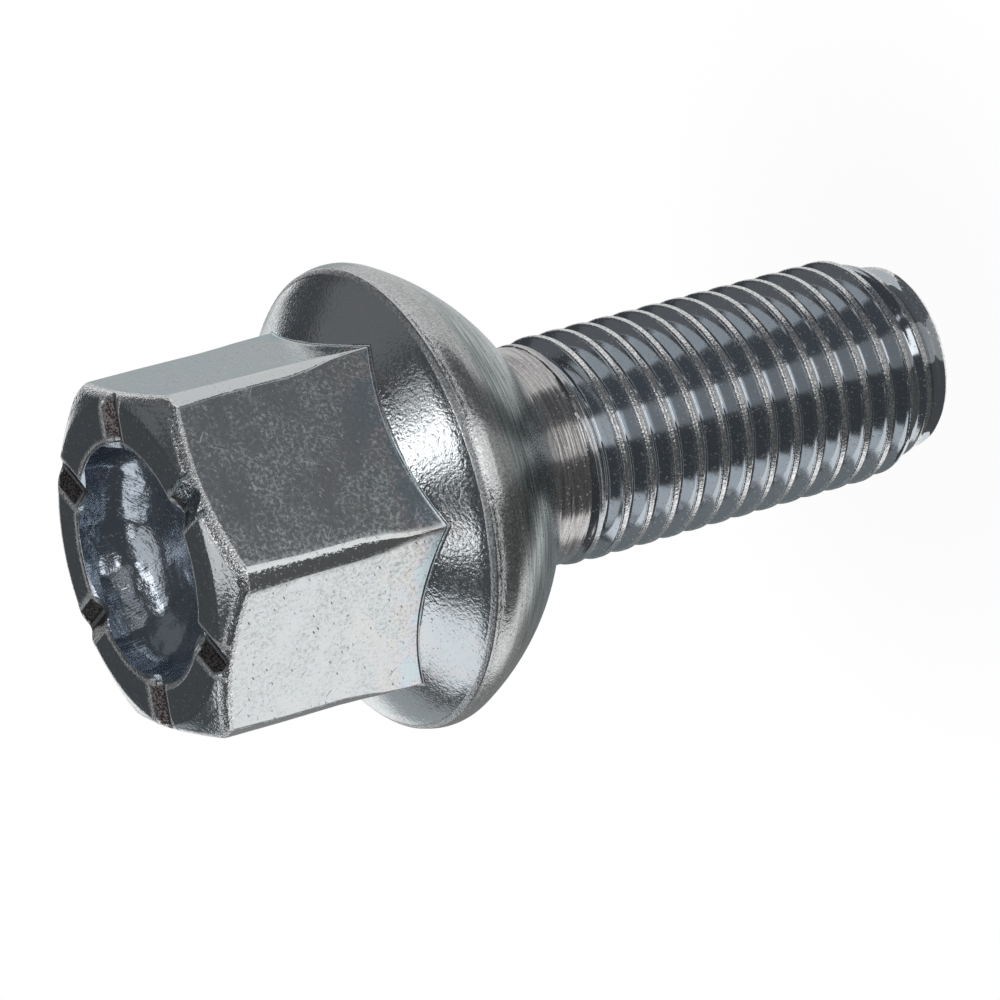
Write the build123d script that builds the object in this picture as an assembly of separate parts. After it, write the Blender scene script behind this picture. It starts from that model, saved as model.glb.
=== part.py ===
# Wheel bolt: a hollow hexagon head, a collar with a ball seat, a neck and a shank, headed as one piece.
# Millimetres, +Z up along the axis. The origin is the centre of the shank's end face.
import os
from math import asin, cos, pi, radians, sin, tan

from build123d import *

# Shank: the thread is 12 mm with a pitch of 1.5 mm, and its crests measure a little less
shank_length = 25.4
thread_dia = 11.85
tip_dia = 9.7
tip_chamfer_length = 2.65
tip_edge_break = 0.35
neck_dia = 11.4
neck_length = 2.55
neck_flare = 0.35
run_out_length = 1.0

# Ball seat and collar
seat_radius = 13.0
seat_edge_angle = 64.6
rim_radius = 1.6
rim_edge_angle = 30.0
collar_face_angle = 33.0

# Hexagon head
head_height = 12.0
hex_across_flats = 17.0
corner_clip = 0.36
end_face_inset = 0.7
end_chamfer_angle = 26.0
head_edge_radius = 0.35

# Recess in the head, with six narrow flats on its wall
recess_dia = 12.0
recess_flat_depth = 0.2
recess_wall_depth = 1.6
recess_dish_depth = 1.8
recess_draft = 8.0
recess_mouth_chamfer = 0.25

# Notches from the recess across the end face, one above each flat of the hexagon
notch_count = 6
notch_width = 2.0
notch_depth = 0.6
notch_valley_radius = 0.25

# Room a cutting tool needs past the surface it cuts, and how closely an edge is looked for
tool_clearance = 1.0
fine = 0.001

# Radii that follow from the sizes above
thread_r = thread_dia / 2
tip_r = tip_dia / 2
neck_r = neck_dia / 2
recess_r = recess_dia / 2
flat_r = hex_across_flats / 2
corner_r = flat_r / cos(pi / notch_count)
clip_r = corner_r - corner_clip
end_r = flat_r - end_face_inset

# The ball stands on the neck, and the rim's rounding is tangent to the ball from inside
seat_from = asin((neck_r + neck_flare) / seat_radius)
seat_to = radians(seat_edge_angle)
ball_centre_z = shank_length + seat_radius * cos(seat_from)
rim_centre_r = (seat_radius - rim_radius) * sin(seat_to)
rim_centre_z = ball_centre_z - (seat_radius - rim_radius) * cos(seat_to)
rim_from = seat_to - pi / 2
rim_to = radians(rim_edge_angle)


def on_ball(angle):
    """A point of the seat, by its angle from the axis below the ball's centre."""
    return (seat_radius * sin(angle), ball_centre_z - seat_radius * cos(angle))


def on_rim(angle):
    """A point of the rim's rounding, by its angle up from level."""
    return (rim_centre_r + rim_radius * cos(angle), rim_centre_z + rim_radius * sin(angle))


# The collar's upper face is a cone from the rim's edge up to the hexagon, which it meets at the corners
rim_edge_r, rim_edge_z = on_rim(rim_to)
face_slope = tan(radians(collar_face_angle))


def face_z(radius):
    """The height of the collar's upper face at a radius."""
    return rim_edge_z + (rim_edge_r - radius) * face_slope


head_base_z = face_z(corner_r)
overall_length = head_base_z + head_height

# The turned body, from the shank's end face up to the collar's upper face
thread_top_z = shank_length - neck_flare - neck_length - run_out_length
tip_slope = (thread_r - tip_r) / tip_chamfer_length
core_r = flat_r - tool_clearance
turned = Polyline(
    (0, 0),
    (tip_r - tip_edge_break, 0),
    (tip_r + tip_slope * tip_edge_break, tip_edge_break),
    (thread_r, tip_chamfer_length),
    (thread_r, thread_top_z),
    (neck_r, thread_top_z + run_out_length),
    (neck_r, shank_length - neck_flare),
    on_ball(seat_from),
)
turned += ThreePointArc(on_ball(seat_from), on_ball((seat_from + seat_to) / 2), on_ball(seat_to))
turned += ThreePointArc(on_rim(rim_from), on_rim((rim_from + rim_to) / 2), on_rim(rim_to))
turned += Polyline(on_rim(rim_to), (core_r, face_z(core_r)), (0, face_z(core_r)), (0, 0))
body = revolve(Plane.XZ * make_face(turned), Axis.Z)

# The hexagon, its corners clipped by a slight cone that runs out at the collar, and its end by a flat cone
end_slope = tan(radians(end_chamfer_angle))
clip_top_z = overall_length - (clip_r - end_r) * end_slope
clip_slope = corner_clip / (clip_top_z - head_base_z)
clip_low_z = rim_edge_z
clip_low_r = corner_r + clip_slope * (head_base_z - clip_low_z)
hexagon = RegularPolygon(flat_r, notch_count, major_radius=False)
hexagon = Pos(0, 0, clip_low_z) * extrude(hexagon, overall_length - clip_low_z)
clip = Polyline(
    (0, clip_low_z),
    (clip_low_r, clip_low_z),
    (clip_r, clip_top_z),
    (end_r, overall_length),
    (0, overall_length),
    close=True,
)
hexagon &= revolve(Plane.XZ * make_face(clip), Axis.Z)

# The end's cone is rounded over into the flats and the clipped corners
head_edges = hexagon.edges().filter_by_position(Axis.Z, clip_top_z - fine, overall_length - fine)
hexagon = fillet([e for e in head_edges if e.geom_type != GeomType.LINE], head_edge_radius)
bolt = body + hexagon

# The recess: a drafted wall with six narrow flats, a dished floor and a countersunk mouth
end_plane = Plane((0, 0, overall_length))
recess_depth = recess_wall_depth + recess_dish_depth
recess_flat_r = recess_r - recess_flat_depth
dish_r = (recess_r**2 + recess_dish_depth**2) / (2 * recess_dish_depth)
mouth = Circle(recess_r) & RegularPolygon(recess_flat_r, notch_count, major_radius=False)
recess = extrude(end_plane * mouth, recess_depth + tool_clearance, dir=(0, 0, -1), taper=recess_draft)
recess &= Pos(0, 0, overall_length - recess_depth + dish_r) * Sphere(dish_r)
sink_r = recess_flat_r - recess_mouth_chamfer
sink_depth = recess_mouth_chamfer + recess_r - sink_r
sink = Polyline(
    (0, overall_length - sink_depth),
    (sink_r, overall_length - sink_depth),
    (recess_r + recess_mouth_chamfer + tool_clearance, overall_length + tool_clearance),
    (0, overall_length + tool_clearance),
    close=True,
)
recess += revolve(Plane.XZ * make_face(sink), Axis.Z)
bolt -= recess

# The notches: a shallow V with a rounded valley, run out through each flat
notch_plane = Plane((0, 0, overall_length), x_dir=(-1, 0, 0), z_dir=(0, 1, 0))
notch_top = notch_width / 2 * (notch_depth + tool_clearance) / notch_depth
notch = Polyline(
    (0, -notch_depth),
    (notch_top, tool_clearance),
    (-notch_top, tool_clearance),
    close=True,
)
notch = make_face(notch)
notch = fillet(notch.vertices().sort_by(Axis.Y)[0], notch_valley_radius)
notch = extrude(notch_plane * notch, corner_r)
bolt -= PolarLocations(0, notch_count) * notch

bolt.label = "wheel_bolt"
print("overall", round(overall_length, 3), "collar", round(2 * (rim_centre_r + rim_radius), 3))
print("ball centre", round(ball_centre_z, 3), "thread", tip_chamfer_length, "to", round(thread_top_z, 3))
os.makedirs("parts", exist_ok=True)
export_step(bolt, "parts/wheel_bolt.step")
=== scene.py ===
# %% [markdown]
# # A wheel bolt in bright zinc
# The bolt was headed cold from one piece of steel, its thread was rolled and it was zinc plated.
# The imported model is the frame: it gives the place and the size. The mesh that is modelled here takes
# the place of the plain solid, adds the thread, and carries the finish.

# %% Load the frame
import math
import bpy
import numpy as np
from mathutils import Matrix, Vector


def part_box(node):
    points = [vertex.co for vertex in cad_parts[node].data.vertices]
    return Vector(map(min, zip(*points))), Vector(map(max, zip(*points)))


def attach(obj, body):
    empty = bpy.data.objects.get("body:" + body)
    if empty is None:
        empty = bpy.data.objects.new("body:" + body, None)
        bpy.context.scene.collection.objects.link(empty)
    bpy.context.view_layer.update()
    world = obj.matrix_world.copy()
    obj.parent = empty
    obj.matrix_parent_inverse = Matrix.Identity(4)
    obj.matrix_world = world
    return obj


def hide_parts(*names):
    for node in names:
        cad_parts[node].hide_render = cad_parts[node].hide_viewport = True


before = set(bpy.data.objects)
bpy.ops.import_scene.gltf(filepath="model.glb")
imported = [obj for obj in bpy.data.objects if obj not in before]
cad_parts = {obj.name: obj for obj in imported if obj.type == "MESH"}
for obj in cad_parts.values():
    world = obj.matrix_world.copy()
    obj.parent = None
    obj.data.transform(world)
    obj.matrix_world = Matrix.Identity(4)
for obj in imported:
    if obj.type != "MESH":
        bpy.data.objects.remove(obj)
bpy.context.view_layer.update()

low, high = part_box("wheel_bolt")
MM = 0.001
NEAR = 0.001
TOP = high.z / MM
TURNS = 192
print("frame box in mm", [round(v / MM, 3) for v in (*low, *high)])

# %% [markdown]
# ## Drawing a section and spinning it
# Most of a bolt is turned or rolled, so a section drawn once and spun about the axis gives its form.
# A section starts as a small plane whose corners are merged into one point, and that point is extruded
# from place to place. A curve object would do too, but extruding shows each point of the section.
# Sizes are in mm and are multiplied by `MM` where Blender needs metres. `NEAR` is how close two heights
# have to be to count as the same.

# %% Helpers for sections
def edit(mode="VERT"):
    """Opens the active piece for editing its points, edges or faces."""
    bpy.ops.object.mode_set(mode="EDIT")
    bpy.ops.mesh.select_mode(type=mode)


def done():
    """Closes the piece that is being edited."""
    bpy.ops.object.mode_set(mode="OBJECT")
    return bpy.context.object


def draw_section(name, points):
    """An open line of edges in the XZ plane through points of radius and height in mm."""
    bpy.ops.object.select_all(action="DESELECT")
    r, z = points[0]
    bpy.ops.mesh.primitive_plane_add(size=MM, location=(r * MM, 0, z * MM))
    piece = bpy.context.object
    piece.name = piece.data.name = name
    bpy.ops.object.transform_apply(location=True, rotation=True, scale=True)
    edit()
    bpy.ops.mesh.select_all(action="SELECT")
    bpy.ops.mesh.merge(type="CENTER")
    for (r0, z0), (r1, z1) in zip(points, points[1:]):
        step = ((r1 - r0) * MM, 0, (z1 - z0) * MM)
        bpy.ops.mesh.extrude_region_move(TRANSFORM_OT_translate={"value": step})
    return piece


def weld(reach=0.0004):
    """Merges what lies together and turns every face outwards, in edit mode."""
    bpy.ops.mesh.select_all(action="SELECT")
    bpy.ops.mesh.remove_doubles(threshold=reach * MM)
    bpy.ops.mesh.normals_make_consistent(inside=False)


def spin_section(name, points, steps=TURNS):
    """A section turned once round the axis."""
    piece = draw_section(name, points)
    bpy.ops.mesh.select_all(action="SELECT")
    bpy.ops.mesh.spin(steps=steps, angle=2 * math.pi, center=(0, 0, 0), axis=(0, 0, 1))
    weld()
    done()
    print(name, "faces", len(piece.data.polygons))
    return piece


def arc(centre, radius, start, end, count):
    """Points of an arc in radius and height, from a start to an end angle in degrees."""
    angles = [math.radians(start + (end - start) * i / count) for i in range(count + 1)]
    return [(centre[0] + radius * math.cos(a), centre[1] + radius * math.sin(a)) for a in angles]


def pick(piece, test, kind="verts"):
    """Opens a piece and selects the points, edges or faces that pass a test, and nothing else.

    The test is given a point in mm, the two ends of an edge, or the middle and the normal of a face.
    """
    done()
    bpy.ops.object.select_all(action="DESELECT")
    bpy.context.view_layer.objects.active = piece
    piece.select_set(True)
    mesh = piece.data
    co = np.array([v.co for v in mesh.vertices]) / MM
    for group in (mesh.vertices, mesh.edges, mesh.polygons):
        group.foreach_set("select", [False] * len(group))
    if kind == "verts":
        chosen = [v.index for v in mesh.vertices if test(*co[v.index])]
        group = mesh.vertices
    elif kind == "edges":
        chosen = [e.index for e in mesh.edges if test(co[e.vertices[0]], co[e.vertices[1]])]
        group = mesh.edges
    else:
        chosen = [p.index for p in mesh.polygons if test(*(np.array(p.center) / MM), p.normal)]
        group = mesh.polygons
    for i in chosen:
        group[i].select = True
    edit({"verts": "VERT", "edges": "EDGE", "faces": "FACE"}[kind])
    return len(chosen)


def apply_modifier(piece, kind, **settings):
    """Adds a modifier with its settings and applies it."""
    bpy.ops.object.select_all(action="DESELECT")
    bpy.context.view_layer.objects.active = piece
    piece.select_set(True)
    modifier = piece.modifiers.new(kind.title(), kind)
    for key, value in settings.items():
        setattr(modifier, key, value)
    bpy.ops.object.modifier_apply(modifier=modifier.name)


def cut(piece, tool, operation="DIFFERENCE"):
    """Cuts or joins a tool solid and takes the tool away."""
    apply_modifier(piece, "BOOLEAN", object=tool, operation=operation, solver="EXACT")
    bpy.data.objects.remove(tool)
    print(operation.lower(), "leaves faces", len(piece.data.polygons))

# %% [markdown]
# ## Collar, ball seat and neck
# The collar presses the wheel on with a ball seat of 13 mm radius, so the wheel can centre itself.
# The seat, the rounded rim and the conical upper face are one turned section.
# The foot of the seat, where it meets the neck, gets the small rounding that forging leaves.

# %% Turned body
BALL_R, BALL_Z = 13.0, 36.906
RIM_R, RIM_Z, RIM_ROUND = 10.298, 32.017, 1.6
SEAT_FROM, SEAT_TO, RIM_TO = -61.2, -25.4, 22
RIM_EDGE = math.radians(30)
NECK_R, NECK_LOW, NECK_TOP = 5.7, 23.2, 24.95
FOOT_ROUND = [(5.73, 25.14), (5.82, 25.3), (6.0, 25.43)]
FACE = math.radians(33)
FACE_RADII = (10.9, 10.2, 9.5, 8.8, 8.2, 7.6)
rim_edge = (RIM_R + RIM_ROUND * math.cos(RIM_EDGE), RIM_Z + RIM_ROUND * math.sin(RIM_EDGE))


def face_z(r):
    """The height of the collar's upper face at a radius."""
    return rim_edge[1] + (rim_edge[0] - r) * math.tan(FACE)


seat = arc((0, BALL_Z), BALL_R, SEAT_FROM, SEAT_TO, 26)
rim = arc((RIM_R, RIM_Z), RIM_ROUND, SEAT_TO, RIM_TO, 16)
edge_round = [(rim_edge[0] + 0.09, rim_edge[1] - 0.14), (rim_edge[0] - 0.1, face_z(rim_edge[0] - 0.1))]
neck = [(NECK_R, height) for height in (NECK_LOW, 23.7, 24.4, NECK_TOP)]
section = [(0, NECK_LOW)] + neck + FOOT_ROUND + seat + rim[1:] + edge_round
section += [(r, face_z(r)) for r in FACE_RADII] + [(0, face_z(FACE_RADII[-1]))]
bolt = spin_section("wheel_bolt_zinc", section)

# %% [markdown]
# ## Hexagon
# The head is a 17 mm hexagon. Its corners are sharp at the collar and more and more rounded off
# towards the end, and the end is chamfered all round at 26 degrees.
# Hexagons are drawn at several heights, the corners of each are bevelled by their own amount, and
# bridging them gives flats that stay flat and corner strips that widen towards the end, as forging leaves.

# %% Hexagon from rings
FLAT_R = 8.5
CORNER_R = FLAT_R / math.cos(math.pi / 6)
END_R = 7.8
CHAMFER = math.tan(math.radians(26))
FOOT_Z = 32.9
SHORTEST_SIDE = 3
CORNERS = [(FOOT_Z, 0.03), (34.8, 0.07), (36.3, 0.22), (37.3, 0.45), (38.6, 0.62), (42.0, 0.63), (TOP, 0.80)]


def hexagon_ring(z, corner):
    """A hexagon with a point on +X, its sides divided and its corners rounded off."""
    bpy.ops.mesh.primitive_circle_add(vertices=6, radius=CORNER_R * MM, fill_type="NGON",
                                      location=(0, 0, z * MM), rotation=(0, 0, math.pi / 2))
    ring = bpy.context.object
    bpy.ops.object.transform_apply(location=True, rotation=True, scale=True)
    edit()
    bpy.ops.mesh.select_all(action="SELECT")
    bpy.ops.mesh.bevel(affect="VERTICES", offset=corner * MM, segments=8, profile=0.40, clamp_overlap=False)
    pick(ring, lambda a, b: np.linalg.norm(a - b) > SHORTEST_SIDE, "edges")
    bpy.ops.mesh.subdivide(number_cuts=28)
    pick(ring, lambda x, y, z, n: True, "faces")
    bpy.ops.mesh.delete(type="ONLY_FACE")
    return done()


rings = []
for ring_z, corner in CORNERS:
    bpy.ops.object.select_all(action="DESELECT")
    rings.append(hexagon_ring(ring_z, corner))
head = rings[-1]
head.name = head.data.name = "head"
for v in head.data.vertices:
    v.co.z = (TOP - (math.hypot(v.co.x, v.co.y) / MM - END_R) * CHAMFER) * MM
for ring in rings:
    ring.select_set(True)
bpy.context.view_layer.objects.active = head
bpy.ops.object.join()
edit("EDGE")
bpy.ops.mesh.select_all(action="SELECT")
bpy.ops.mesh.bridge_edge_loops()
done()
print("hexagon faces", len(head.data.polygons))

# %% [markdown]
# The end is closed by extruding the upper ring inwards onto the circle where the chamfer meets the
# end face. Then the two rings of the end are bevelled, because plating and forging leave no sharp edge.

# %% Chamfer and end face
END_ZONE = TOP - 1.2
OUTER_ROUND, INNER_ROUND = 0.46, 0.3

pick(head, lambda x, y, z: z > END_ZONE)
bpy.ops.mesh.extrude_edges_move()
done()
for v in head.data.vertices:
    if v.select:
        r = math.hypot(v.co.x, v.co.y)
        v.co = (v.co.x * END_R * MM / r, v.co.y * END_R * MM / r, TOP * MM)
pick(head, lambda x, y, z: z > TOP - NEAR)
bpy.ops.mesh.edge_face_add()
pick(head, lambda x, y, z: z < FOOT_Z + NEAR)
bpy.ops.mesh.edge_face_add()
weld()


def outer_edge(a, b):
    """Tells whether an edge lies on the chamfer's outer ring."""
    ra, rb = math.hypot(a[0], a[1]), math.hypot(b[0], b[1])
    return min(a[2], b[2]) > END_ZONE and min(ra, rb) > END_R + 0.3


pick(head, outer_edge, "edges")
bpy.ops.mesh.bevel(affect="EDGES", offset=OUTER_ROUND * MM, segments=6, profile=0.5, clamp_overlap=False)
pick(head, lambda a, b: min(a[2], b[2]) > TOP - NEAR, "edges")
bpy.ops.mesh.bevel(affect="EDGES", offset=INNER_ROUND * MM, segments=3, profile=0.5, clamp_overlap=False)
done()
print("head faces", len(head.data.polygons))

# %% [markdown]
# ## Recess and notches
# The end of the head is hollow, which saves steel. The punch left a smooth bowl with a steep wall and
# six narrow flats on it, and six V notches from the bowl out over each flat of the hexagon.
# Each is cut by a tool solid: one spun tool for the bowl, whose points are pulled in at the six flats,
# one for its countersunk mouth, and one notch tool that is copied round. The tools carry the roundings,
# so the cut edges come out rounded.

# %% Recess
BOWL_R, BOWL_DEPTH, BOWL_FULLNESS = 5.96, 3.4, 2.7
BOWL_FLAT_R = 5.7
FLAT_SOFT, FLAT_DIP = 0.008, 0.004
bowl = []
for a in np.linspace(0, math.pi / 2, 30):
    r = BOWL_R * math.sin(a) ** (2 / BOWL_FULLNESS)
    h = BOWL_DEPTH * max(math.cos(a), 0) ** (2 / BOWL_FULLNESS)
    bowl.append((r, TOP - h))
tool = spin_section("bowl_tool", bowl + [(BOWL_R + 0.1, TOP + 1), (0, TOP + 1)], 180)
for v in tool.data.vertices:
    off = (math.degrees(math.atan2(v.co.y, v.co.x)) % 60) - 30
    pull = BOWL_FLAT_R / BOWL_R / math.cos(math.radians(off))
    soft = min(max(0.5 + (1 - pull) / FLAT_SOFT, 0), 1)
    pull = pull * soft + (1 - soft) - FLAT_DIP * soft * (1 - soft)
    v.co.x, v.co.y = v.co.x * pull, v.co.y * pull
cut(head, tool)
mouth = [(0, TOP - 0.6), (5.45, TOP - 0.6), (5.6, TOP - 0.42), (5.86, TOP - 0.2), (6.12, TOP - 0.05)]
mouth += [(6.4, TOP + 0.02), (7.0, TOP + 0.6), (0, TOP + 0.6)]
cut(head, spin_section("mouth_tool", mouth, 144))

# %% Notches
NOTCH_FROM, NOTCH_LENGTH = 3.2, 7.0
lip = [(1.16, 0.02), (1.06, -0.012), (0.96, -0.05), (0.86, -0.11)]
valley = [(0.3, -0.44), (0.2, -0.49), (0.1, -0.52), (0.0, -0.53)]
half = [(1.3, 0.8)] + lip + valley
outline = half + [(-y, z) for y, z in half[-2::-1]]
notch = draw_section("notch_tool", [(y, TOP + z) for y, z in outline])
bpy.ops.mesh.select_all(action="SELECT")
bpy.ops.mesh.edge_face_add()
bpy.ops.transform.translate(value=(0, NOTCH_FROM * MM, 0))
bpy.ops.mesh.extrude_region_move(TRANSFORM_OT_translate={"value": (0, NOTCH_LENGTH * MM, 0)})
weld()
done()
for k in range(6):
    bpy.ops.object.select_all(action="DESELECT")
    copy = notch.copy()
    copy.data = notch.data.copy()
    bpy.context.collection.objects.link(copy)
    copy.data.transform(Matrix.Rotation(math.radians(60 * k), 4, "Z"))
    cut(head, copy)
bpy.data.objects.remove(notch)
cut(bolt, head, "UNION")

# %% [markdown]
# ## Thread
# The thread is 12 mm with a pitch of 1.5 mm and right-hand. One pitch of the thread's section is drawn,
# and a Screw modifier carries it round and up. Rolling leaves a faint fold along each crest, so the
# crest's section dips a little in its middle. Then the points near both ends are pulled onto the
# shank's outline: the tip's chamfer below, where the groove grows shallow, and the run-out at
# the neck above, where the grooves die out.

# %% Thread
PITCH, CREST_R, ROOT_R = 1.5, 5.925, 5.09
CREST_AT = 0.72
one_pitch = [(ROOT_R, -0.75), (ROOT_R + 0.005, -0.70), (ROOT_R + 0.025, -0.65), (ROOT_R + 0.07, -0.605)]
one_pitch += [(5.24, -0.552), (5.4, -0.46), (5.56, -0.367), (5.72, -0.275), (5.86, -0.194)]
one_pitch += [(CREST_R - 0.022, -0.165), (CREST_R, -0.12), (CREST_R - 0.006, -0.06), (CREST_R - 0.02, 0.0)]
one_pitch += [(r, -z) for r, z in one_pitch[-2::-1]]
start = CREST_AT - 2 * PITCH
thread = draw_section("thread", [(r, start + z) for r, z in one_pitch])
done()
apply_modifier(thread, "SCREW", angle=2 * math.pi, screw_offset=PITCH * MM, iterations=18, steps=TURNS,
               render_steps=TURNS, axis="Z", use_merge_vertices=True, merge_threshold=1e-7)
print("thread points", len(thread.data.vertices))

# %% Ends of the thread
RUN_OUT_LOW, RUN_OUT_TOP = 21.7, 24.3
TAPER_LOW, TAPER_LENGTH = 21.9, 1.7
TIP_Z = [0, 0.12, 0.38, 0.9, 1.7, 3.25, 3.7]
TIP_R = [4.5, 4.72, 4.93, 5.02, 5.24, 5.86, 6.06]
TIP_GROOVE, GROOVE_FROM, GROOVE_RISE = 0.5, 0.3, 1.5
TIP_SOFT = 0.06
END_INSET = 0.5
co = np.empty(len(thread.data.vertices) * 3)
thread.data.vertices.foreach_get("co", co)
co = co.reshape(-1, 3) / MM
radii = np.hypot(co[:, 0], co[:, 1])
heights = np.clip(co[:, 2], 0, NECK_LOW)
fade = np.clip((RUN_OUT_TOP - heights) / (RUN_OUT_TOP - RUN_OUT_LOW), 0, 1)
fade = fade * fade * (3 - 2 * fade)
crest = CREST_R - (CREST_R - NECK_R) * np.clip((heights - TAPER_LOW) / TAPER_LENGTH, 0, 1)
pulled = crest - fade * (CREST_R - radii)
cone = np.interp(heights, TIP_Z, TIP_R)
cone = cone - TIP_GROOVE * (CREST_R - radii) * np.clip((heights - GROOVE_FROM) / GROOVE_RISE, 0, 1)
gap = np.clip(0.5 + 0.5 * (cone - pulled) / TIP_SOFT, 0, 1)
pulled = cone * (1 - gap) + pulled * gap - TIP_SOFT * gap * (1 - gap)
pulled = np.where(heights >= NECK_LOW - 1e-6, NECK_R, pulled)
co[:, 0] *= pulled / radii
co[:, 1] *= pulled / radii
co[:, 2] = heights
thread.data.vertices.foreach_set("co", (co * MM).ravel())
edit()
weld()
pick(thread, lambda x, y, z: z < NEAR / 10)
bpy.ops.mesh.edge_face_add()
pick(thread, lambda x, y, z, n: z < NEAR and abs(n.z) > 0.9, "faces")
bpy.ops.mesh.inset(thickness=END_INSET * MM)
done()
print("thread faces", len(thread.data.polygons))

# %% [markdown]
# ## One piece
# The bolt is one forging, so its parts become one mesh. The plain disc under the neck is taken away
# and the thread's upper ring is merged into the neck's ring. Weighted normals keep the flats flat.

# %% Join shank and head
pick(bolt, lambda x, y, z, n: z < NECK_LOW + NEAR, "faces")
bpy.ops.mesh.delete(type="FACE")
done()
bpy.ops.object.select_all(action="DESELECT")
thread.select_set(True)
bolt.select_set(True)
bpy.context.view_layer.objects.active = bolt
bpy.ops.object.join()
edit()
weld(0.002)
done()
bpy.ops.object.shade_smooth_by_angle(angle=math.radians(32))
apply_modifier(bolt, "WEIGHTED_NORMAL", keep_sharp=True, weight=50)
triangles = sum(len(face.vertices) - 2 for face in bolt.data.polygons)
print("bolt faces", len(bolt.data.polygons), "triangles", triangles)

# %% Place in the frame
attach(bolt, "root")
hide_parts("wheel_bolt")

# %% [markdown]
# ## Finish: how the nodes are written
# A shader is easier to read as sums than as a drawing of boxes. The small class below wraps a socket, so
# that + - * / between values add Math nodes, and one method adds any other node, settings first.

# %% Values that can be used in sums
class Value:
    """A socket that can be used in sums. Each sign adds a Math node to the tree."""

    def __init__(self, tree, socket):
        self.tree, self.socket = tree, socket

    def _math(self, operation, a, b):
        return self.tree.add("ShaderNodeMath", {"operation": operation}, {0: a, 1: b})

    def __add__(self, other):
        return self._math("ADD", self, other)

    def __radd__(self, other):
        return self._math("ADD", other, self)

    def __sub__(self, other):
        return self._math("SUBTRACT", self, other)

    def __rsub__(self, other):
        return self._math("SUBTRACT", other, self)

    def __mul__(self, other):
        return self._math("MULTIPLY", self, other)

    def __rmul__(self, other):
        return self._math("MULTIPLY", other, self)

    def __truediv__(self, other):
        return self._math("DIVIDE", self, other)

    def __gt__(self, other):
        return self._math("GREATER_THAN", self, other)

    def __abs__(self):
        return self._math("ABSOLUTE", self, 0)

    def maximum(self, other):
        return self._math("MAXIMUM", self, other)

    def minimum(self, other):
        return self._math("MINIMUM", self, other)

    def other(self, name):
        """Another output of the same node."""
        return Value(self.tree, self.socket.node.outputs[name])

# %% The tree of one finish
class Finish:
    """The node tree of one finish."""

    def __init__(self, name):
        self.material = bpy.data.materials.new(name)
        self.material.use_nodes = True
        self.tree = self.material.node_tree
        self.shader = self.tree.nodes["Principled BSDF"]

    def add(self, kind, settings=None, sockets=None, out=0):
        """Adds a node with its settings, feeds its sockets and gives one of its outputs."""
        node = self.tree.nodes.new(kind)
        for key, value in (settings or {}).items():
            if key == "stops":
                ramp = node.color_ramp
                while len(ramp.elements) < len(value):
                    ramp.elements.new(1)
                for element, (place, colour) in zip(ramp.elements, value):
                    element.position, element.color = place, (*colour, 1)
            else:
                setattr(node, key, value)
        for key, value in (sockets or {}).items():
            self.feed(node.inputs[key], value)
        return Value(self, node.outputs[out])

    def feed(self, socket, value):
        """Links a value to a socket, or sets a plain number or colour on it."""
        if isinstance(value, Value):
            self.tree.links.new(value.socket, socket)
        else:
            socket.default_value = value

    def step(self, low, high, value):
        """Rises softly from 0 to 1 as the value goes from low to high, or falls where low is above high."""
        return self.add("ShaderNodeMapRange", {"interpolation_type": "SMOOTHSTEP"},
                        {"Value": value, "From Min": low, "From Max": high})

    def noise(self, place, scale, detail, rough, stretch=None):
        """Cloudy noise, finer along an axis that is stretched by more than 1."""
        if stretch:
            place = self.add("ShaderNodeMapping", None, {"Vector": place, "Scale": stretch})
        return self.add("ShaderNodeTexNoise", None,
                        {"Vector": place, "Scale": scale, "Detail": detail, "Roughness": rough})

    def spots(self, place, scale, size, share, flat=False):
        """Round spots up to a size in cells of the place, on a share of the cells."""
        sort = {"feature": "F1", "voronoi_dimensions": "2D" if flat else "3D"}
        cells = self.add("ShaderNodeTexVoronoi", sort, {"Vector": place, "Scale": scale}, "Distance")
        lot = self.add("ShaderNodeSeparateColor", None, {0: cells.other("Color")})
        return self.step(size, size * 0.35, cells / (0.25 + 0.75 * lot.other("Green"))) * (lot > 1 - share)

    def blend(self, factor, first, second):
        """Mixes two colours by a factor."""
        return self.add("ShaderNodeMix", {"data_type": "RGBA"}, {0: factor, 6: first, 7: second}, 2)


def rgb(r, g, b):
    """A colour as the sockets take it."""
    return (r, g, b, 1)

# %% [markdown]
# ## Finish: where on the bolt
# The nodes need to know flat from corner and crest from groove. Object coordinates give the place, and
# a few distances made from it tell the faces of the bolt apart, so nothing has to be painted by hand.
# For the hexagon, `across` is how far out a point lies square to its nearest flat, and `along` is how far
# it lies sideways from the middle of that flat. `unrolled` lays the flats out side by side on one sheet.
# For the thread, `off_crest` is how far a point lies from the crest's helix, in parts of a pitch.

# %% Place on the bolt
zinc = Finish("zinc_plating")
place = zinc.add("ShaderNodeTexCoord", None, None, "Object")
place = zinc.add("ShaderNodeVectorMath", {"operation": "SCALE"}, {0: place, "Scale": 1 / MM})
x = zinc.add("ShaderNodeSeparateXYZ", None, {0: place})
y, z = x.other("Y"), x.other("Z")
radius = zinc.add("ShaderNodeMath", {"operation": "SQRT"}, {0: x * x + y * y})
SQUARE_TO = [math.radians(k) for k in (30, 90, 150)]
outs = [x * math.cos(k) + y * math.sin(k) for k in SQUARE_TO]
sides = [y * math.cos(k) - x * math.sin(k) for k in SQUARE_TO]
across = abs(outs[0]).maximum(abs(outs[1])).maximum(abs(outs[2]))
beside = abs(sides[0]).minimum(abs(sides[1])).minimum(abs(sides[2]))
FLAT_SPACING = 20
along = 0
for number, (out, side) in enumerate(zip(outs, sides)):
    middle = FLAT_SPACING * 2 * number + FLAT_SPACING * (out > 0)
    along = along + (abs(out) > across - NEAR) * (side + middle)
unrolled = zinc.add("ShaderNodeCombineXYZ", None, {0: along, 1: z})
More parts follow.
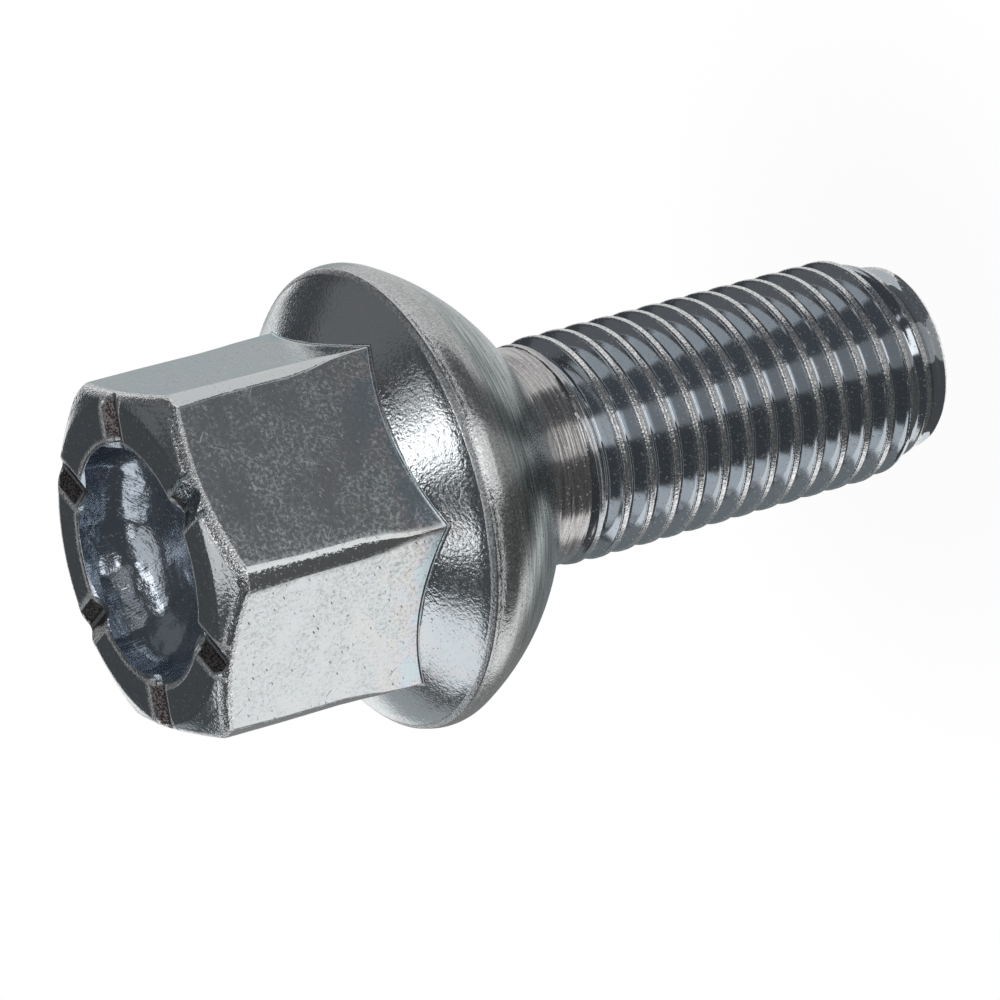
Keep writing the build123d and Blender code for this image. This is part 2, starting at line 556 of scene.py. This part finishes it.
round_axis = zinc.add("ShaderNodeMath", {"operation": "ARCTAN2"}, {0: y, 1: x}) / (2 * math.pi)
# The crest comes out at one half, and the whole 2 keeps the number positive
lead = zinc.add("ShaderNodeMath", {"operation": "FRACT"}, {0: (z - CREST_AT) / PITCH - round_axis + 2.5})
off_crest = abs(lead - 0.5)
print("place nodes", len(zinc.tree.nodes))

# %% Faces of the head
LIP_LINE, RIM_LINE = 1.0, 6.14
near_end = zinc.step(TOP - 1.3, TOP - 1.1, z)
end_z = TOP - (radius - END_R).maximum(0) * CHAMFER
on_flat = zinc.step(0.07, 0.02, abs(across - FLAT_R)) * zinc.step(33.2, 33.6, z)
on_corner = zinc.step(8.5, 8.75, radius) * (1 - on_flat) * zinc.step(34.2, 34.6, z)
under_end = end_z - z
in_bowl = zinc.step(6.1, 5.98, radius) * zinc.step(40, 41, z)
on_rim = zinc.step(0.2, 0.08, abs(radius - RIM_LINE)) * zinc.step(TOP - 0.35, TOP - 0.25, z)
in_notch = zinc.step(0.06, 0.13, under_end) * zinc.step(LIP_LINE, 0.93, beside) * near_end
in_notch = in_notch * zinc.step(6.1, 6.3, radius) * zinc.step(8.34, 8.18, across)
on_lip = zinc.step(0.2, 0.1, abs(beside - LIP_LINE)) * zinc.step(0.2, 0.12, under_end)
on_lip = on_lip * near_end * zinc.step(5.95, 6.1, radius)
in_valley = zinc.step(0.15, 0.06, beside) * in_notch
on_chamfer = zinc.step(7.75, 8.1, radius) * near_end * (1 - on_flat) * (1 - in_notch)
on_edge = zinc.step(8.0, 8.2, across) * zinc.step(0.52, 0.34, under_end) * near_end * (1 - in_notch)
on_burr = in_notch.maximum(on_lip) * zinc.step(-6.5, -6.9, y) * zinc.step(1.5, 1.2, abs(x))
on_end = near_end * zinc.step(7.95, 7.7, radius) * (1 - in_notch) * (1 - in_bowl)
near_collar = zinc.step(37.8, 34.6, z) * on_flat
print("nodes with the head", len(zinc.tree.nodes))

# %% Faces of the collar and the shank
on_collar = zinc.step(31.4, 32.2, z) * zinc.step(36.2, 35.4, z) * (1 - on_flat) * (1 - on_corner)
on_brim_edge = zinc.step(0.15, 0.06, abs(radius - 11.64)) * zinc.step(32.5, 32.7, z)
on_brim = zinc.step(11.0, 11.5, radius) * zinc.step(33.0, 32.6, z) * zinc.step(30.0, 31.2, z)
on_seat = zinc.step(32.3, 31.3, z) * zinc.step(25.2, 25.7, z)
on_shank = zinc.step(25.3, 24.9, z)
on_neck = on_shank * zinc.step(21.9, 23.6, z)
on_crest = zinc.step(5.80, 5.87, radius) * on_shank
on_flank = zinc.step(5.2, 5.34, radius) * on_shank * (1 - on_crest)
on_tip = zinc.step(2.9, 2.3, z)
on_ridge = on_tip * zinc.step(0.2, 0.1, off_crest).maximum(zinc.step(0.3, 0.1, z))
print("nodes with the shank", len(zinc.tree.nodes))

# %% [markdown]
# ## Finish: marks
# Plated bolts tumble in a barrel, so they carry small pits, specks and scratches everywhere.
# A speck is a dull spot: it shows dark on a bright face and bright on a dark one, so it is made mostly by
# the gloss, with only a little colour. On the shank the specks are laid on bright as well, as painted
# glints.
# The collar keeps the hammered skin of the forging, the crests the rough fold of the rolled thread, and
# the edges of the notches a torn burr. Scratches need a direction, so they are spots on the unrolled
# flats, turned and pulled long. Bumps are given in mm of height.

# %% Scratches and specks
def scratches(angle, width, length, share):
    """Straight scratches on the flats, at an angle to the bolt's axis."""
    turned = (0, 0, math.radians(angle))
    spot = zinc.add("ShaderNodeMapping", {"vector_type": "TEXTURE"},
                    {"Vector": unrolled, "Rotation": turned, "Scale": (width, length, 1)})
    return zinc.spots(spot, 1.0, 0.16, share, True)


scratch = scratches(28, 0.17, 5.5, 0.045).maximum(scratches(-50, 0.22, 2.6, 0.045)) * on_flat
flecks = scratches(62, 0.36, 1.1, 0.4) * on_flat
specks = zinc.spots(place, 5.4, 0.46, 0.6) * (1 - 0.6 * on_flat) * (1 - 0.5 * on_collar)
drawn = zinc.noise(unrolled, 1.0, 1, 0.6, (11, 0.25, 1))
marks = specks.maximum(flecks).maximum(scratch)
print("nodes with the marks", len(zinc.tree.nodes))

# %% Bumps
smear = zinc.noise(place, 5.2, 3, 0.7)
hammer = zinc.noise(place, 5.2, 1, 0.6)
film = zinc.noise(place, 0.42, 2, 0.5, (1, 1, 1.7))
torn = zinc.noise(place, 8.5, 1, 0.65)
rolled = zinc.noise(place, 1.0, 1, 0.65, (0.4, 0.4, 7))
FILLET = 0.16
foot_z = face_z(radius)
up_flat = (FILLET - (z - foot_z)).maximum(0) * on_flat
out_face = (FILLET - (across - FLAT_R)).maximum(0) * on_collar
fillet = (up_flat * up_flat + out_face * out_face) / (2 * FILLET)
lip_side = (beside - 0.98) / 0.15
rim_side = (radius - RIM_LINE) / 0.17
burr = (1 - lip_side * lip_side).maximum(0) * on_lip.maximum(in_notch) * (0.01 + 0.12 * torn)
burr = burr + (1 - rim_side * rim_side).maximum(0) * on_rim * (0.03 + 0.07 * torn)
height = fillet + burr + drawn * (0.003 * near_collar + 0.008 * in_bowl) + film * 0.2 * in_bowl
skin = 0.012 * on_collar + 0.04 * on_burr + 0.018 * on_corner + 0.016 * on_chamfer
skin = skin + 0.012 * in_bowl + 0.005 * on_end
height = height + hammer * skin
grain = 0.022 * on_crest + 0.006 * on_brim + 0.022 * on_ridge + 0.014 * in_notch
grain = grain + 0.032 * on_edge + 0.005 * on_collar + 0.03 * on_brim_edge
height = height + torn * (grain + 0.004 * on_end + 0.006 * on_corner)
height = height + rolled * (0.035 * on_neck + 0.006 * on_seat)
bump = zinc.add("ShaderNodeBump", None, {"Strength": 1.0, "Distance": MM, "Height": height})
zinc.feed(zinc.shader.inputs["Normal"], bump)
print("nodes with the bumps", len(zinc.tree.nodes))

# %% [markdown]
# ## Finish: colour and gloss
# Blue passivated zinc is a slightly blue grey, with faint yellow and teal films where the bath dried.
# The seat is duller, greener and darker, its darkness a painted shade of the dark surroundings it reflects;
# the hollow of the head keeps the darkest blue, and the notches are brownish between lips that are bright
# from wear and from a painted highlight. Smudges dull the gloss of the flats and of the collar.

# %% Colours of the faces
TEAL, ROSE, STRAW, BLUE = (0.40, 0.68, 0.78), (0.70, 0.63, 0.70), (0.76, 0.72, 0.60), (0.52, 0.70, 0.75)
film_stops = [(0.36, TEAL), (0.46, ROSE), (0.54, STRAW), (0.64, BLUE)]
film_colour = zinc.add("ShaderNodeValToRGB", {"stops": film_stops}, {0: film + 0.06 * (z - 36)})
rough_grain = zinc.step(0.40, 0.62, torn)
smudge = zinc.step(0.28, 0.86, smear)
streaks = zinc.step(0.3, 0.7, rolled)
neck_mix = streaks * 0.75 + rough_grain * 0.25
brim_mix = rough_grain * 0.45 + smudge * 0.55
# Streaked seat colour, made darker as a painted shade.
seat_streaks_and_shade = zinc.blend(streaks, rgb(0.13, 0.155, 0.15), rgb(0.44, 0.49, 0.49))
crest_colour = zinc.blend(rough_grain, rgb(0.54, 0.55, 0.56), rgb(0.97, 0.97, 0.97))
neck_colour = zinc.blend(neck_mix, rgb(0.33, 0.315, 0.31), rgb(0.7, 0.685, 0.68))
notch_colour = zinc.blend(rough_grain, rgb(0.06, 0.052, 0.05), rgb(0.26, 0.235, 0.225))
# Bright colour for worn edges that also carries painted highlights and painted glints.
worn_and_highlight_colour = zinc.blend(rough_grain, rgb(0.66, 0.67, 0.68), rgb(0.97, 0.97, 0.97))
brim_colour = zinc.blend(brim_mix, rgb(0.36, 0.36, 0.36), rgb(0.84, 0.83, 0.82))
burr_colour = zinc.blend(rough_grain, rgb(0.3, 0.36, 0.38), rgb(0.78, 0.85, 0.87))
BOWL_COLOUR, SHANK_COLOUR = rgb(0.52, 0.58, 0.655), rgb(0.50, 0.54, 0.585)
DIRT_COLOUR = rgb(0.24, 0.225, 0.21)
print("nodes with the colours", len(zinc.tree.nodes))

# %% Colour, laid on face by face
base = zinc.blend(smear, rgb(0.67, 0.695, 0.71), rgb(0.745, 0.75, 0.75))
base = zinc.blend(near_collar * 0.24 + 0.08, base, film_colour)
# The seat is laid on darker and greener as a painted shade of the dark surroundings it reflects, less of it
# towards the neck; its streaks are rolled lines.
base = zinc.blend(on_seat * (0.9 - 0.5 * zinc.step(29, 26.5, z)), base, seat_streaks_and_shade)
base = zinc.blend(on_brim * 0.7, base, brim_colour)
base = zinc.blend(in_bowl * 0.85, base, BOWL_COLOUR)
base = zinc.blend(on_shank * 0.75, base, SHANK_COLOUR)
base = zinc.blend(on_neck, base, neck_colour)
base = zinc.blend(on_crest.maximum(on_ridge) * (1 - on_neck), base, crest_colour)
base = zinc.blend(in_notch, base, notch_colour)
base = zinc.blend(on_burr * 0.8, base, burr_colour)
# Lips, the rim of the hollow, the bottom of each notch, the head's end edges and the brim's edge are laid on
# bright: partly worn bare metal, partly a painted highlight. The specks on the shank are laid on bright as
# painted glints.
wear_and_highlight = on_lip + on_rim + in_valley + on_edge + on_brim_edge + specks * on_shank
base = zinc.blend(wear_and_highlight.minimum(1) * (1 - on_burr), base, worn_and_highlight_colour)
dirt = flecks * zinc.step(0.4, 0.58, film)
base = zinc.blend(dirt * 0.6 + marks * 0.15 * (1 - on_shank), base, DIRT_COLOUR)
zinc.feed(zinc.shader.inputs["Base Color"], base)
print("nodes with the colour laid on", len(zinc.tree.nodes))

# %% Gloss
gloss = 0.1 + 0.42 * smudge * on_flat * zinc.step(0.1, 0.62, film)
gloss = gloss + 0.08 * on_crest.maximum(on_ridge) + 0.03 * on_flank
gloss = gloss + on_collar * (0.01 + 0.18 * smudge) + 0.12 * on_seat
gloss = gloss + 0.07 * on_chamfer + 0.07 * in_bowl + 0.16 * in_notch
gloss = gloss + 0.3 * on_lip + 0.25 * on_rim + 0.06 * on_neck
gloss = gloss + 0.08 * on_edge + 0.03 * on_brim + 0.2 * on_brim_edge
gloss = gloss + 0.36 * marks + 0.14 * scratch - 0.2 * on_burr
gloss = gloss + on_end * (0.04 + 0.14 * rough_grain)
zinc.feed(zinc.shader.inputs["Roughness"], gloss.maximum(0.08).minimum(0.7))
zinc.shader.inputs["Metallic"].default_value = 1.0
bolt.data.materials.clear()
bolt.data.materials.append(zinc.material)
print("zinc nodes", len(zinc.tree.nodes))

# %% [markdown]
# ## Studio
# Bright metal shows the room more than itself. The photograph's reflections tell of a white table with
# grey and black cards lying round the bolt, lamps by the camera with a strip beside them, a soft lamp on
# the left, panels above, and a pale wall and a board further back, under a dark ceiling. The same is set up
# here, and a small dim card on edge behind the shank is a painted shade that stands in for the shaded
# table beside the thread. The cards and lamps stay out of the picture.
# The paper shines by itself where it is seen, so that it is as white as the photograph's ground, and only
# close to the bolt's foot does a trace of shadow show.

# %% Floor
bpy.ops.mesh.primitive_plane_add(size=4, location=(0, 0, 0))
floor = bpy.context.object
floor.name = "floor"
paper = Finish("white_paper")
path = paper.add("ShaderNodeLightPath")
seen = path.other("Is Camera Ray").maximum(path.other("Is Glossy Ray"))
seen = seen.maximum(path.other("Is Transmission Ray"))
matt = paper.add("ShaderNodeBsdfDiffuse", None, {"Color": rgb(0.86, 0.86, 0.86)})
glow = paper.add("ShaderNodeEmission", None, {"Color": rgb(1, 1, 1), "Strength": 1.0})
spot = paper.add("ShaderNodeTexCoord", None, None, "Object")
away = paper.add("ShaderNodeVectorMath", {"operation": "LENGTH"}, {0: spot}, "Value")
share = 0.96 + 0.04 * paper.step(0.006, 0.026, away)
sheet_of_paper = paper.add("ShaderNodeMixShader", None, {0: seen * share, 1: matt, 2: glow})
paper.feed(paper.tree.nodes["Material Output"].inputs["Surface"], sheet_of_paper)
paper.material.cycles.emission_sampling = "NONE"
floor.data.materials.append(paper.material)

# %% Cards on the table
def grey(name, level, tint):
    """A matt card that looks as bright as its level from every side, 1 being white."""
    felt = Finish(name + "_felt")
    colour = rgb(*(level * part for part in tint))
    felt.shader.inputs["Base Color"].default_value = colour
    felt.shader.inputs["Roughness"].default_value = 0.9
    felt.shader.inputs["Emission Color"].default_value = colour
    felt.shader.inputs["Emission Strength"].default_value = 1.0
    felt.material.cycles.emission_sampling = "NONE"
    return felt.material


def put_out(piece, material):
    """Dresses a card and keeps it out of the picture and out of the lamps' way."""
    piece.data.materials.append(material)
    piece.visible_camera = False
    piece.visible_diffuse = False
    piece.visible_shadow = False
    middle = np.mean([v.co for v in piece.data.vertices], axis=0)
    print(piece.name, "stands at", round(math.degrees(math.atan2(middle[1], middle[0])) % 360), "degrees")


def card(name, azimuths, radii, level, tint=(1, 1, 1), lift=0.1):
    """A card in the shape of a slice of a ring, lying on the table."""
    bpy.ops.object.select_all(action="DESELECT")
    bpy.ops.mesh.primitive_plane_add(size=MM, location=(radii[0] * MM, 0, lift * MM))
    piece = bpy.context.object
    piece.name = name
    bpy.ops.object.transform_apply(location=True, rotation=True, scale=True)
    edit()
    bpy.ops.mesh.select_all(action="SELECT")
    bpy.ops.mesh.merge(type="CENTER")
    bpy.ops.mesh.extrude_region_move(TRANSFORM_OT_translate={"value": ((radii[1] - radii[0]) * MM, 0, 0)})
    done()
    start, end = (math.radians(a) for a in azimuths)
    piece.data.transform(Matrix.Rotation(start, 4, "Z"))
    edit()
    bpy.ops.mesh.select_all(action="SELECT")
    bpy.ops.mesh.spin(steps=24, angle=end - start, center=(0, 0, 0), axis=(0, 0, -1))
    done()
    put_out(piece, grey(name, level, tint))


def standing_card(name, azimuth, distance, sides, heights, level, tint=(1, 1, 1)):
    """A card on edge, square to a direction from the bolt's axis."""
    bpy.ops.mesh.primitive_plane_add(size=1, location=(0, 0, 0))
    piece = bpy.context.object
    piece.name = name
    wide, tall = sides[1] - sides[0], heights[1] - heights[0]
    place = Matrix.Rotation(math.radians(azimuth), 4, "Z")
    place = place @ Matrix.Translation((distance * MM, sum(sides) / 2 * MM, sum(heights) / 2 * MM))
    place = place @ Matrix.Rotation(math.radians(90), 4, "Y") @ Matrix.Diagonal((tall * MM, wide * MM, 1, 1))
    piece.data.transform(place)
    put_out(piece, grey(name, level, tint))


card("black_card_left", (180, 241), (4.9, 260), 0.075)
card("grey_card_front", (241, 273), (4.9, 52), 0.32)
card("black_card_right", (273, 314), (4.9, 260), 0.105, (0.96, 1.0, 1.05))
card("grey_card_back", (92, 150), (4.9, 260), 0.2)
card("grey_card_side", (316, 422), (4.9, 260), 0.58)
card("grey_card_far", (28, 60), (58, 140), 0.36, (0.92, 1.0, 1.02), 0.3)
# The shank card is a painted shade: a dim card on edge that stands in for the shaded table beside the
# thread, seen only in the bolt's reflections.
standing_card("shank_card", 145, 9, (-12, 2.4), (0.2, 24.2), 0.19, (0.92, 1.0, 1.03))

# %% Lamps
world = bpy.data.worlds.new("studio")
bpy.context.scene.world = world
world.use_nodes = True
world.node_tree.nodes["Background"].inputs["Color"].default_value = (0.062, 0.066, 0.072, 1)
world.node_tree.nodes["Background"].inputs["Strength"].default_value = 1.0


def softbox(name, azimuth, elevation, distance, size, level, tint=(1, 1, 1)):
    """A soft lamp aimed at the bolt. Its level is how bright its face looks, 1 being white."""
    lamp = bpy.data.lights.new(name, "AREA")
    lamp.shape = "RECTANGLE"
    lamp.size, lamp.size_y = size
    lamp.energy = level * math.pi * size[0] * size[1]
    lamp.color = tint
    holder = bpy.data.objects.new(name, lamp)
    bpy.context.scene.collection.objects.link(holder)
    a, e = math.radians(azimuth), math.radians(elevation)
    towards = Vector((math.cos(e) * math.cos(a), math.cos(e) * math.sin(a), math.sin(e)))
    holder.location = Vector((0, 0, 0.03)) + towards * distance
    holder.rotation_euler = towards.to_track_quat("Z", "Y").to_euler()
    holder.visible_camera = False


softbox("left_softbox", 131, 42, 0.25, (0.115, 0.125), 0.9, (0.95, 0.98, 1.0))
softbox("top_panel", 325, 79, 0.4, (0.1, 0.095), 1.8)
softbox("top_panel_edge", 350, 68.5, 0.4, (0.06, 0.065), 0.6)
softbox("high_lamp", 166, 73.5, 0.4, (0.06, 0.055), 1.5)
softbox("ceiling_panel", 72, 80, 0.4, (0.17, 0.17), 0.65)
softbox("camera_lamp_low", 259, 7, 0.6, (0.30, 0.147), 1.6)
softbox("camera_lamp_high", 259, 37, 0.6, (0.24, 0.17), 1.8)
softbox("edge_strip", 289, 34, 0.6, (0.05, 0.5), 0.6)
softbox("room_wall", 12, 38, 0.7, (0.56, 0.42), 0.084)
softbox("back_board", 105, 9, 0.4, (0.2, 0.14), 0.3, (0.93, 1.0, 1.02))

# %% Camera
camera = bpy.data.objects.new("camera", bpy.data.cameras.new("camera"))
bpy.context.scene.collection.objects.link(camera)
FOCAL_IN_PIXELS, PICTURE_WIDTH, SENSOR = 4669.58, 1000, 36
camera.data.sensor_width = SENSOR
camera.data.lens = FOCAL_IN_PIXELS * SENSOR / PICTURE_WIDTH
right = (-0.39174, -0.37578, -0.83984)
up = (0.88605, -0.40001, -0.23431)
back = (-0.24789, -0.83593, 0.48966)
attitude = Matrix((right, up, back)).transposed().to_4x4()
camera.matrix_world = Matrix.Translation((-0.06016, -0.196743, 0.141063)) @ attitude
bpy.context.scene.camera = camera
bpy.context.scene.view_settings.view_transform = "Standard"

# %% Update the scene
bpy.context.view_layer.update()
